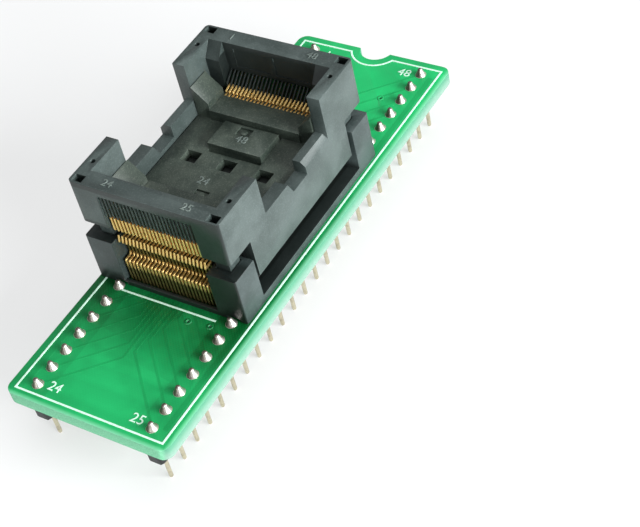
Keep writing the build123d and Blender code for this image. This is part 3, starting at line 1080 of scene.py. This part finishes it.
@dataclass
class Board:
    """The circuit board with its lacquer, tracks, pads and printed lines."""

    finishes: Finishes
    nodes: dict[str, bpy.types.Object]
    ease: float = 0.16
    sink: float = 0.01
    track_width: float = 0.3
    track_rise: float = 0.01
    track_start: float = 12.5
    first_lane: float = 0.35
    lane: float = 0.62
    shortest_run: float = 0.4
    supply_line: tuple[float, float, float] = (29.0, 9.1, 0.7)
    ink_width: float = 0.24
    ink_sink: float = 0.005
    ink_rise: float = 0.035
    outline_half: Point = (30.45, 9.8)
    notch_ring: float = 3.3
    cross_line: tuple[float, float, float] = (-14.35, 7.0, -5.8)
    digit_height: float = 1.25
    digit_inset: float = 0.35
    digit_y: float = 5.52
    via_spots: tuple[Point, ...] = ((23.8, -5.0), (-15.5, -2.9), (-15.2, -5.6), (26.9, 3.4))

    def build(self) -> None:
        """Makes every piece of the board."""
        node, mask = self.nodes["circuit_board"], self.finishes.mask
        board = rounded_copy(node, "board_laminate", mask, self.ease, 3)
        settle(board, Body.ADAPTER, "solder_mask", "circuit_board")
        for piece in (self.tracks(), self.lines(), self.numbers()):
            settle(piece, Body.ADAPTER, "solder_mask")
        settle(self.pads(), Body.ADAPTER, "gold_plating")
        settle(self.vias(), Body.ADAPTER, "gold_plating", "via_rings")

    def tracks(self) -> bpy.types.Object:
        """Copper tracks below the lacquer, fanning out from the contact tails.

        A track leaves its tail level with it, runs along the board, and turns
        once by 45 degrees towards its pin, so its corner is where the distance
        left along the board equals the distance left across it. A wide supply
        track follows each edge, outside the pins.

        Returns:
            The piece.
        """
        mesh = Mesh()
        pins = LAYOUT.pin_x()
        low, high = LAYOUT.board_top - self.sink, LAYOUT.board_top + self.track_rise
        for end, numbers in ((End.FRONT, range(0, 7)), (End.REAR, range(23, 17, -1))):
            start = LAYOUT.socket_x + end.value * self.track_start
            for rank, pin in enumerate(numbers):
                for side in Side:
                    y = LAYOUT.socket_y + side.value * (self.first_lane + self.lane * rank)
                    row = side.value * LAYOUT.row_y
                    corner = pins[pin] - end.value * abs(row - y)
                    route = [(start, y), (corner, y), (pins[pin], row)]
                    if end.value * (corner - start) < self.shortest_run:
                        y = side.value * (LAYOUT.row_y - abs(pins[pin] - start))
                        route = [(start, y), (pins[pin], row)]
                    mesh.add(line_band(route, self.track_width, low, high, False))
        half, y, width = self.supply_line
        for side in Side:
            route = [(-half, side.value * y), (half, side.value * y)]
            mesh.add(line_band(route, width, low, high, False))
        return mesh.object("board_tracks", self.finishes.track, False)

    def lines(self) -> bpy.types.Object:
        """The printed frame line with its bow round the notch, and the cross line.

        Returns:
            The piece.
        """
        half_x, half_y = self.outline_half
        spread = math.acos((LAYOUT.notch_centre - half_x) / self.notch_ring)
        angle = np.linspace(math.pi + spread, math.pi - spread, 25)
        ring = self.notch_ring * np.stack([np.cos(angle), np.sin(angle)], axis=1)
        bow = ring + np.array([LAYOUT.notch_centre, 0.0])
        corners = [(half_x, half_y), (-half_x, half_y), (-half_x, -half_y), (half_x, -half_y)]
        low, high = LAYOUT.board_top - self.ink_sink, LAYOUT.board_top + self.ink_rise
        mesh = Mesh()
        mesh.add(line_band(np.concatenate([bow, corners]), self.ink_width, low, high, True))
        x, left, right = self.cross_line
        mesh.add(line_band([(x, left), (x, right)], self.ink_width, low, high, False))
        return mesh.object("board_printed_lines", self.finishes.ink, False)

    def numbers(self) -> bpy.types.Object:
        """Plain pin numbers beside the four end pins.

        Returns:
            The piece.
        """
        first, last = LAYOUT.pin_x()[0] + self.digit_inset, LAYOUT.pin_x()[-1] - self.digit_inset
        y, z = self.digit_y, LAYOUT.board_top - self.ink_sink
        labels = (
            ("1", last, y, z), ("24", first, y, z), ("25", first, -y, z), ("48", last, -y, z),
        )
        return raised_numbers(
            "board_printed_numbers", self.finishes.ink, labels, self.digit_height, self.ink_rise
        )

    def pads(self) -> bpy.types.Object:
        """Tinned rings round the visible pins, and below the board at the tails.

        Returns:
            The piece.
        """
        mesh = Mesh()
        top, bottom = LAYOUT.board_top, LAYOUT.board_bottom
        ring = (
            (0.5, top - 0.02), (0.67, top - 0.02), (0.69, top + 0.01),
            (0.66, top + 0.03), (0.5, top + 0.03),
        )
        for side in Side:
            mesh.add(lathe(ring, 24, True), LAYOUT.pins(side, False))
        small = (
            (0.16, bottom - 0.03), (0.3, bottom - 0.03),
            (0.3, bottom + 0.01), (0.16, bottom + 0.01),
        )
        for end in End:
            mesh.add(lathe(small, 10, True), LAYOUT.tails(end))
        return mesh.object("board_pads", self.finishes.pad)

    def vias(self) -> bpy.types.Object:
        """Plated through holes with a rolled rim on both faces.

        Returns:
            The piece.
        """
        top, bottom = LAYOUT.board_top, LAYOUT.board_bottom
        ring = (
            (0.21, bottom - 0.02), (0.26, bottom - 0.04), (0.4, bottom - 0.035), (0.42, bottom),
            (0.42, top), (0.4, top + 0.035), (0.26, top + 0.04), (0.21, top + 0.02),
        )
        mesh = Mesh()
        mesh.add(lathe(ring, 20, True), points_at(*np.transpose(self.via_spots)))
        return mesh.object("board_vias", self.finishes.track)


@dataclass
class Headers:
    """The two header strips, their turned pins and the solder on them."""

    finishes: Finishes
    strip_half_width: float = 1.0
    strip_bottom: float = 3.9
    strip_ease: float = 0.12
    end_slope: float = 0.05
    waist: float = 0.16
    waist_reach: float = 0.11
    solder_tip: float = 0.26
    solder_foot: float = 0.66
    solder_height: float = 0.95
    hidden_height: float = 0.3
    lean: float = 0.05

    def build(self) -> None:
        """Makes the strips, pins and solder of both rows."""
        for side in Side:
            tag = side.name.lower()
            settle(self.strip(side), Body.ADAPTER, "header_plastic", f"header_strip_{tag}")
            settle(self.pins(side), Body.ADAPTER, "tinned_pin", f"header_pins_{tag}")
            settle(self.solder(side), Body.ADAPTER, "solder", f"pin_solder_{tag}")

    def strip(self, side: Side) -> bpy.types.Object:
        """A strip whose sides are pinched between every two pins.

        Half the width at x is w - d exp(-(f / r)^2), where f is how far x is
        from the nearest place half way between two pins, in pitches. The ring
        of each x is a rectangle with eased corners.

        Args:
            side: The row that it holds.

        Returns:
            The piece.
        """
        half = LAYOUT.pins_per_row * LAYOUT.pitch / 2
        x = np.linspace(-half, half, LAYOUT.pins_per_row * 12 + 1)
        gap = np.abs((x / LAYOUT.pitch + 0.5) % 1.0 - 0.5)
        width = self.strip_half_width - self.waist * np.exp(-((gap / self.waist_reach) ** 2))
        width[0] = width[-1] = self.strip_half_width - self.waist - self.end_slope
        low, high, ease = self.strip_bottom, LAYOUT.board_bottom, self.strip_ease
        inset = np.array([ease, 0, 0, ease, ease, 0, 0, ease])
        across = np.array([-1, -1, -1, -1, 1, 1, 1, 1])
        level = np.array([low, low + ease, high - ease, high, high, high - ease, low + ease, low])
        y = side.value * LAYOUT.row_y + across * (width[:, None] - inset)
        faces = [face[::-1] for face in ring_faces(len(x), len(level))]
        mesh = Mesh()
        mesh.add((points_at(x[:, None], y, level), faces))
        return mesh.object(f"header_strip_moulded_{side.name.lower()}", self.finishes.header)

    def pins(self, side: Side) -> bpy.types.Object:
        """Turned pins: a domed tip, a slim shank, a shoulder and a barrel.

        Args:
            side: The row.

        Returns:
            The piece.
        """
        profile = (
            (0.06, 0.0), (0.14, 0.03), (0.2, 0.09), (0.24, 0.2), (0.25, 0.34), (0.25, 3.0),
            (0.27, 3.1), (0.34, 3.2), (0.44, 3.24), (0.46, 3.3), (0.46, 3.82), (0.44, 3.9),
            (0.38, 3.95), (0.31, 4.1), (0.31, LAYOUT.board_top),
        )
        mesh = Mesh()
        mesh.add(lathe(profile, 14), LAYOUT.pins(side))
        return mesh.object(f"header_pins_turned_{side.name.lower()}", self.finishes.pin)

    def solder(self, side: Side) -> bpy.types.Object:
        """Solder that wets each pad and climbs the pin in a hollow curve.

        The radius at height share h is tip + (foot - tip) (1 - h)^1.4, closed
        by a small dome, and the flat joints below the socket are the same
        shape at their own height. Each joint leans a little its own way.

        Args:
            side: The row.

        Returns:
            The piece.
        """
        mesh = Mesh()
        share = np.linspace(0.0, 0.84, 9)
        radius = self.solder_tip + (self.solder_foot - self.solder_tip) * (1.0 - share) ** 1.4
        dome = np.array([(0.25, 0.91), (0.2, 0.96), (0.12, 0.99), (0.03, 1.0)])
        for covered, height in ((False, self.solder_height), (True, self.hidden_height)):
            profile = [(self.solder_foot - 0.02, 0.0)]
            profile += list(zip(radius, 0.02 + share * height * 0.98))
            profile += list(zip(dome[:, 0], dome[:, 1] * height))
            points, faces = lathe(profile, 18)
            rise = points[:, 2:] / (height * MM)
            draw = np.random.default_rng(7 + side.value + int(covered))
            for place in LAYOUT.pins(side, covered, LAYOUT.board_top):
                moved = points.copy()
                moved[:, :2] += draw.uniform(-self.lean, self.lean, 2) * MM * rise**1.5
                mesh.add((moved + place, faces))
        return mesh.object(f"pin_solder_joints_{side.name.lower()}", self.finishes.solder)


@dataclass
class Socket:
    """The plastic mouldings of the socket and their raised numbers."""

    finishes: Finishes
    nodes: dict[str, bpy.types.Object]
    base_ease: float = 0.1
    cover_ease: float = 0.12
    nest_ease: float = 0.07
    comb_ease: float = 0.02
    cover_top: float = 22.9
    rim: float = 12.7
    mark_sink: float = 0.01
    mark_rise: float = 0.07

    def build(self) -> None:
        """Makes the mouldings and their marks."""
        paints = self.finishes
        node = self.nodes["socket_base"]
        base = rounded_copy(node, "socket_housing_moulded", paints.housing, self.base_ease)
        settle(base, Body.ADAPTER, "housing_plastic", "socket_base")
        node = self.nodes["nest_plate"]
        nest = rounded_copy(node, "chip_nest_moulded", paints.nest, self.nest_ease)
        settle(nest, Body.ADAPTER, "nest_plastic", "nest_plate")
        node = self.nodes["socket_cover"]
        cover = rounded_copy(node, "press_cover_moulded", paints.cover, self.cover_ease)
        settle(cover, Body.COVER, "cover_plastic", "socket_cover")
        for end in End:
            tag = end.name.lower()
            node = self.nodes[f"cover_comb_{tag}"]
            comb = rounded_copy(node, f"cover_comb_moulded_{tag}", paints.cover, self.comb_ease, 1)
            settle(comb, Body.COVER, "cover_plastic", f"cover_comb_{tag}")
        top, rim = self.cover_top, self.rim
        marks = (
            ("1", rim, 5.6, top), ("48", rim, -5.2, top),
            ("24", -rim, 5.2, top), ("25", -rim, -5.2, top),
        )
        settle(self.numbers("cover_raised_numbers", marks, 1.0), Body.COVER, "cover_plastic")
        marks = (("48", 3.5, 0.0, 16.7), ("24", -3.0, 1.2, 15.8))
        settle(self.numbers("nest_raised_numbers", marks, 1.1), Body.ADAPTER, "nest_plastic")

    def numbers(
        self, name: str, marks: Sequence[tuple[str, float, float, float]], height: float
    ) -> bpy.types.Object:
        """Plain pin numbers raised on a moulding.

        Args:
            name: Name of the piece.
            marks: Text, place from the socket's middle, and height of the face.
            height: Height of a digit.

        Returns:
            The piece.
        """
        labels = [
            (text, LAYOUT.socket_x + x, LAYOUT.socket_y + y, z - self.mark_sink)
            for text, x, y, z in marks
        ]
        return raised_numbers(name, self.finishes.mark, labels, height, self.mark_rise)


@dataclass
class Contacts:
    """Stamped contacts at both ends: stems, swinging arms and tail solder.

    Outlines run outwards from the socket's middle and up from the board.
    """

    finishes: Finishes
    thickness: float = 0.24
    burr: float = 0.035
    strip: float = 0.34
    back: float = 12.35
    leg_top: float = 3.5
    stem_top: float = 6.54
    hook_top: float = 7.35
    anchor: float = 11.2
    pivot: float = 11.5
    tail_end: float = -1.6
    jog: float = 0.5
    ledge: float = 8.77
    rest_sink: float = 0.02
    rest_rise: float = 0.09
    rest_reach: Point = (9.02, 9.9)
    stem_bend: float = 0.3
    arm_bend: float = 0.14
    rest_bend: float = 0.04

    def build(self) -> None:
        """Makes the contacts of both ends."""
        for end in End:
            tag = end.name.lower()
            arms_body = Body.FRONT_ARMS if end is End.FRONT else Body.REAR_ARMS
            settle(self.stems(end), Body.ADAPTER, "contact_gold", f"contact_stems_{tag}")
            settle(self.arms(end), arms_body, "contact_gold", f"contact_arms_{tag}")
            settle(self.rests(end), Body.ADAPTER, "contact_gold")
            settle(self.tail_solder(end), Body.ADAPTER, "solder", f"contact_solder_{tag}")

    def stem_outline(self, stepped: bool) -> np.ndarray:
        """Corners of one stem.

        Args:
            stepped: Whether its tail is stepped inwards.

        Returns:
            The outline.
        """
        h, leg, tail = self.strip / 2, LAYOUT.tail_outer, LAYOUT.tail_inner
        crown = [
            (leg + h, self.leg_top + h),
            (self.back + h, self.leg_top + h),
            (self.back + h, self.stem_top - self.strip),
            (leg + h, self.stem_top - self.strip),
            (leg - h, self.hook_top),
            (leg - h, self.stem_top),
            (self.pivot - h, self.stem_top),
            (self.pivot - h, self.stem_top - self.strip),
            (self.back - h, self.stem_top - self.strip),
            (self.back - h, self.leg_top + h),
            (self.anchor, self.leg_top + h),
            (self.anchor, self.leg_top - h),
            (leg - h, self.leg_top - h),
        ]
        if not stepped:
            return np.array(crown + [(leg - h, self.tail_end), (leg + h, self.tail_end)])
        return np.array(crown + [
            (leg - h, self.jog + h), (tail - h, self.jog + h), (tail - h, self.tail_end),
            (tail + h, self.tail_end), (tail + h, self.jog - h), (leg + h, self.jog - h),
        ])

    def arm_outline(self) -> np.ndarray:
        """Corners of one arm: nose, upright, beam, outer bar, cam tip and root.

        Returns:
            The outline.
        """
        return np.array([
            (9.35, 8.98), (9.35, 9.22), (10.49, 9.52), (10.49, 8.44), (13.11, 8.44), (12.0, 11.81),
            (12.3, 12.15), (13.45, 10.1), (13.45, 8.1), (11.67, 8.1), (11.67, 6.62), (11.33, 6.62),
            (11.33, 8.1), (10.15, 8.1), (10.15, 9.28),
        ])

    def blank(self, outline: np.ndarray, end: End, bend: float) -> Shell:
        """One stamped contact in the middle of the socket, rounded at its bends.

        Args:
            outline: Its sharp outline.
            end: The end that it stands at.
            bend: Reach of its rounded bends.

        Returns:
            Its points and faces.
        """
        points, faces = stamped(rounded_outline(outline, bend), self.thickness, self.burr)
        if end is End.FRONT:
            points = points * np.array([-1.0, 1.0, 1.0])
            faces = [face[::-1] for face in faces]
        return points + points_at(LAYOUT.socket_x, 0.0, LAYOUT.board_top), faces

    def rows(self, first: int = 0, step: int = 1) -> np.ndarray:
        """Places across the socket of every step-th contact from the first."""
        return points_at(0.0, LAYOUT.contact_y()[first::step])

    def stems(self, end: End) -> bpy.types.Object:
        """All stems of one end, with every second tail stepped inwards.

        Args:
            end: The end.

        Returns:
            The piece.
        """
        mesh = Mesh()
        for first in (0, 1):
            outline = self.stem_outline(first == 1)
            mesh.add(self.blank(outline, end, self.stem_bend), self.rows(first, 2))
        return mesh.object(f"contact_stems_stamped_{end.name.lower()}", self.finishes.gold, False)

    def arms(self, end: End) -> bpy.types.Object:
        """All arms of one end.

        Args:
            end: The end.

        Returns:
            The piece.
        """
        mesh = Mesh()
        mesh.add(self.blank(self.arm_outline(), end, self.arm_bend), self.rows())
        return mesh.object(f"contact_arms_stamped_{end.name.lower()}", self.finishes.gold, False)

    def rests(self, end: End) -> bpy.types.Object:
        """Thin fixed strips on the ledge, one below each nose, for the chip's leads.

        Args:
            end: The end.

        Returns:
            The piece.
        """
        low, high = self.ledge - self.rest_sink, self.ledge + self.rest_rise
        inner, outer = self.rest_reach
        outline = np.array([(inner, low), (outer, low), (outer, high), (inner, high)])
        mesh = Mesh()
        mesh.add(self.blank(outline, end, self.rest_bend), self.rows())
        return mesh.object(f"contact_rests_stamped_{end.name.lower()}", self.finishes.gold, False)

    def tail_solder(self, end: End) -> bpy.types.Object:
        """Small domes of solder below the board, one on each tail.

        Args:
            end: The end.

        Returns:
            The piece.
        """
        low = LAYOUT.board_bottom
        profile = (
            (0.02, low - 0.36), (0.1, low - 0.34), (0.15, low - 0.27), (0.17, low - 0.18),
            (0.2, low - 0.1), (0.25, low - 0.04), (0.25, low),
        )
        mesh = Mesh()
        mesh.add(lathe(profile, 12), LAYOUT.tails(end))
        return mesh.object(f"tail_solder_joints_{end.name.lower()}", self.finishes.tail_solder)


@dataclass
class Springs:
    """The four coil springs below the corners of the cover."""

    finishes: Finishes
    centre: Point = (11.9, 7.75)
    coil_radius: float = 0.62
    wire_radius: float = 0.1
    low: float = 11.3
    high: float = 14.4
    turns: float = 5.0
    steps_per_turn: int = 22
    cover_travel: float = 2.0

    def build(self) -> None:
        """Makes the four springs."""
        for end in End:
            for side in Side:
                tag = f"{end.name}_{side.name}".lower()
                spring = self.coil(f"cover_spring_coil_{tag}", end, side)
                settle(spring, Body.ADAPTER, "spring_steel", f"cover_spring_{tag}")
                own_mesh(spring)

    def coil(self, name: str, end: End, side: Side) -> bpy.types.Object:
        """A compression spring with closed ends.

        The wire's middle at turn share u is (c cos a, c sin a, z(u)) with the
        angle a = 2 pi n u, and z rises slowly in the first and last turn and
        evenly between them.

        Args:
            name: Name of the piece.
            end: The end of the socket that it stands at.
            side: The side of the socket that it stands at.

        Returns:
            The piece.
        """
        share = np.linspace(0.0, 1.0, int(self.turns * self.steps_per_turn) + 1)
        closed = 1.0 / self.turns
        wire = 2.0 * self.wire_radius
        ends = np.clip(share / closed, 0, 1) + np.clip((share - 1.0 + closed) / closed, 0, 1)
        rise = np.clip((share - closed) / (1.0 - 2.0 * closed), 0.0, 1.0)
        z = self.low + self.wire_radius + rise * (self.high - self.low - 3.0 * wire) + wire * ends
        angle = 2.0 * math.pi * self.turns * share
        x = LAYOUT.socket_x + end.value * self.centre[0] + self.coil_radius * np.cos(angle)
        y = LAYOUT.socket_y + side.value * self.centre[1] + self.coil_radius * np.sin(angle)
        mesh = Mesh()
        mesh.add(tube(np.stack([x, y, z], axis=1), self.wire_radius, 8))
        return mesh.object(name, self.finishes.steel)


@dataclass
class Studio:
    """Floor, lamps, world and the camera at the photograph's place, in metres."""

    finishes: Finishes
    eye: tuple[float, float, float] = (-0.09727, -0.09474, 0.13343)
    heading: float = 41.142
    down: float = 44.915
    roll: float = 14.589
    focal_pixels: float = 1617.4
    image_pixels: float = 640.0
    sensor: float = 36.0
    lamp_target: tuple[float, float, float] = (0.0, 0.0, 0.012)
    room_light: float = 0.3
    room_tint: Colour = (0.88, 0.93, 0.95, 1.0)
    floor_flat: float = 1.0
    floor_curve: float = 0.25

    def build(self) -> None:
        """Sets the stage."""
        self.floor()
        self.lamp("side_panel", (-0.04, -0.55, 0.19), (0.5, 0.2), 8.6, (0.96, 0.99, 1.0))
        self.lamp("front_panel", (-0.6, 0.05, 0.08), (0.4, 0.12), 0.9, (0.98, 1.0, 0.99))
        self.lamp("top_panel", (0.1, -0.05, 0.6), (0.5, 0.5), 1.3, (1.0, 1.0, 1.0))
        self.world()
        self.camera()
        bpy.context.scene.view_settings.view_transform = "Standard"

    def floor(self) -> None:
        """A wide level sheet that the pins stand on, rising gently at its rim.

        Height at distance d from the middle is c (d - f)^2 beyond the flat
        part's radius f and zero before it.
        """
        flat = [0.02, 0.1, 0.4, self.floor_flat]
        distance = np.concatenate([flat, np.linspace(1.2, 3.0, 10)])[:, None]
        height = self.floor_curve * np.clip(distance - self.floor_flat, 0.0, None) ** 2
        angle = round_angles(96)
        points = points_at(distance * np.cos(angle), distance * np.sin(angle), height) / MM
        faces = ring_faces(len(distance), len(angle), (True, False))
        mesh = Mesh()
        mesh.add((points, [face[::-1] for face in faces]))
        mesh.object("studio_floor", self.finishes.paper)

    def lamp(
        self,
        name: str,
        place: tuple[float, float, float],
        size: Point,
        power: float,
        tint: tuple[float, float, float],
    ) -> None:
        """Adds one soft panel that looks at the part.

        Args:
            name: Name of the lamp.
            place: Middle of the panel.
            size: Width and height of the panel.
            power: Its power in watts.
            tint: Its colour.
        """
        data = bpy.data.lights.new(name, "AREA")
        data.shape = "RECTANGLE"
        data.size, data.size_y = size
        data.energy = power
        data.color = tint
        made = linked(name, data)
        made.location = place
        aim = Vector(self.lamp_target) - Vector(place)
        made.rotation_euler = aim.to_track_quat("-Z", "Y").to_euler()

    def world(self) -> None:
        """Even dim surroundings, as in a room round the lit table."""
        world = bpy.data.worlds.new("studio_world")
        world.use_nodes = True
        room = world.node_tree.nodes["Background"]
        room.inputs["Color"].default_value = self.room_tint
        room.inputs["Strength"].default_value = self.room_light
        bpy.context.scene.world = world

    def camera(self) -> None:
        """Places the camera by its heading, downward tilt and roll, in degrees.

        The level right hand vector is h = forward x up, and the rolled one is
        h cos(roll) + (forward x h) sin(roll).
        """
        heading, down, roll = (math.radians(part) for part in (self.heading, self.down, self.roll))
        level_part = math.cos(down)
        forward = Vector((
            level_part * math.cos(heading), level_part * math.sin(heading), -math.sin(down)
        ))
        level = forward.cross(Vector((0.0, 0.0, 1.0))).normalized()
        right = level * math.cos(roll) + forward.cross(level) * math.sin(roll)
        upward = right.cross(forward)
        data = bpy.data.cameras.new("photo_camera")
        data.sensor_fit = "HORIZONTAL"
        data.sensor_width = self.sensor
        data.lens = self.sensor * self.focal_pixels / self.image_pixels
        data.clip_start = 0.01
        made = linked("photo_camera", data)
        turn = Matrix((right, upward, -forward)).transposed().to_4x4()
        made.matrix_world = Matrix.Translation(Vector(self.eye)) @ turn
        bpy.context.scene.camera = made


def main() -> None:
    """Loads the frame, dresses it and sets the stage."""
    logging.basicConfig(level=logging.INFO, format="%(name)s: %(message)s")
    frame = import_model()
    nodes = frame["nodes"]
    finishes = Finishes()
    Board(finishes, nodes).build()
    Headers(finishes).build()
    Socket(finishes, nodes).build()
    Contacts(finishes).build()
    Springs(finishes).build()
    Studio(finishes).build()
    log.info("sizes written")


if __name__ == "__main__":
    main()
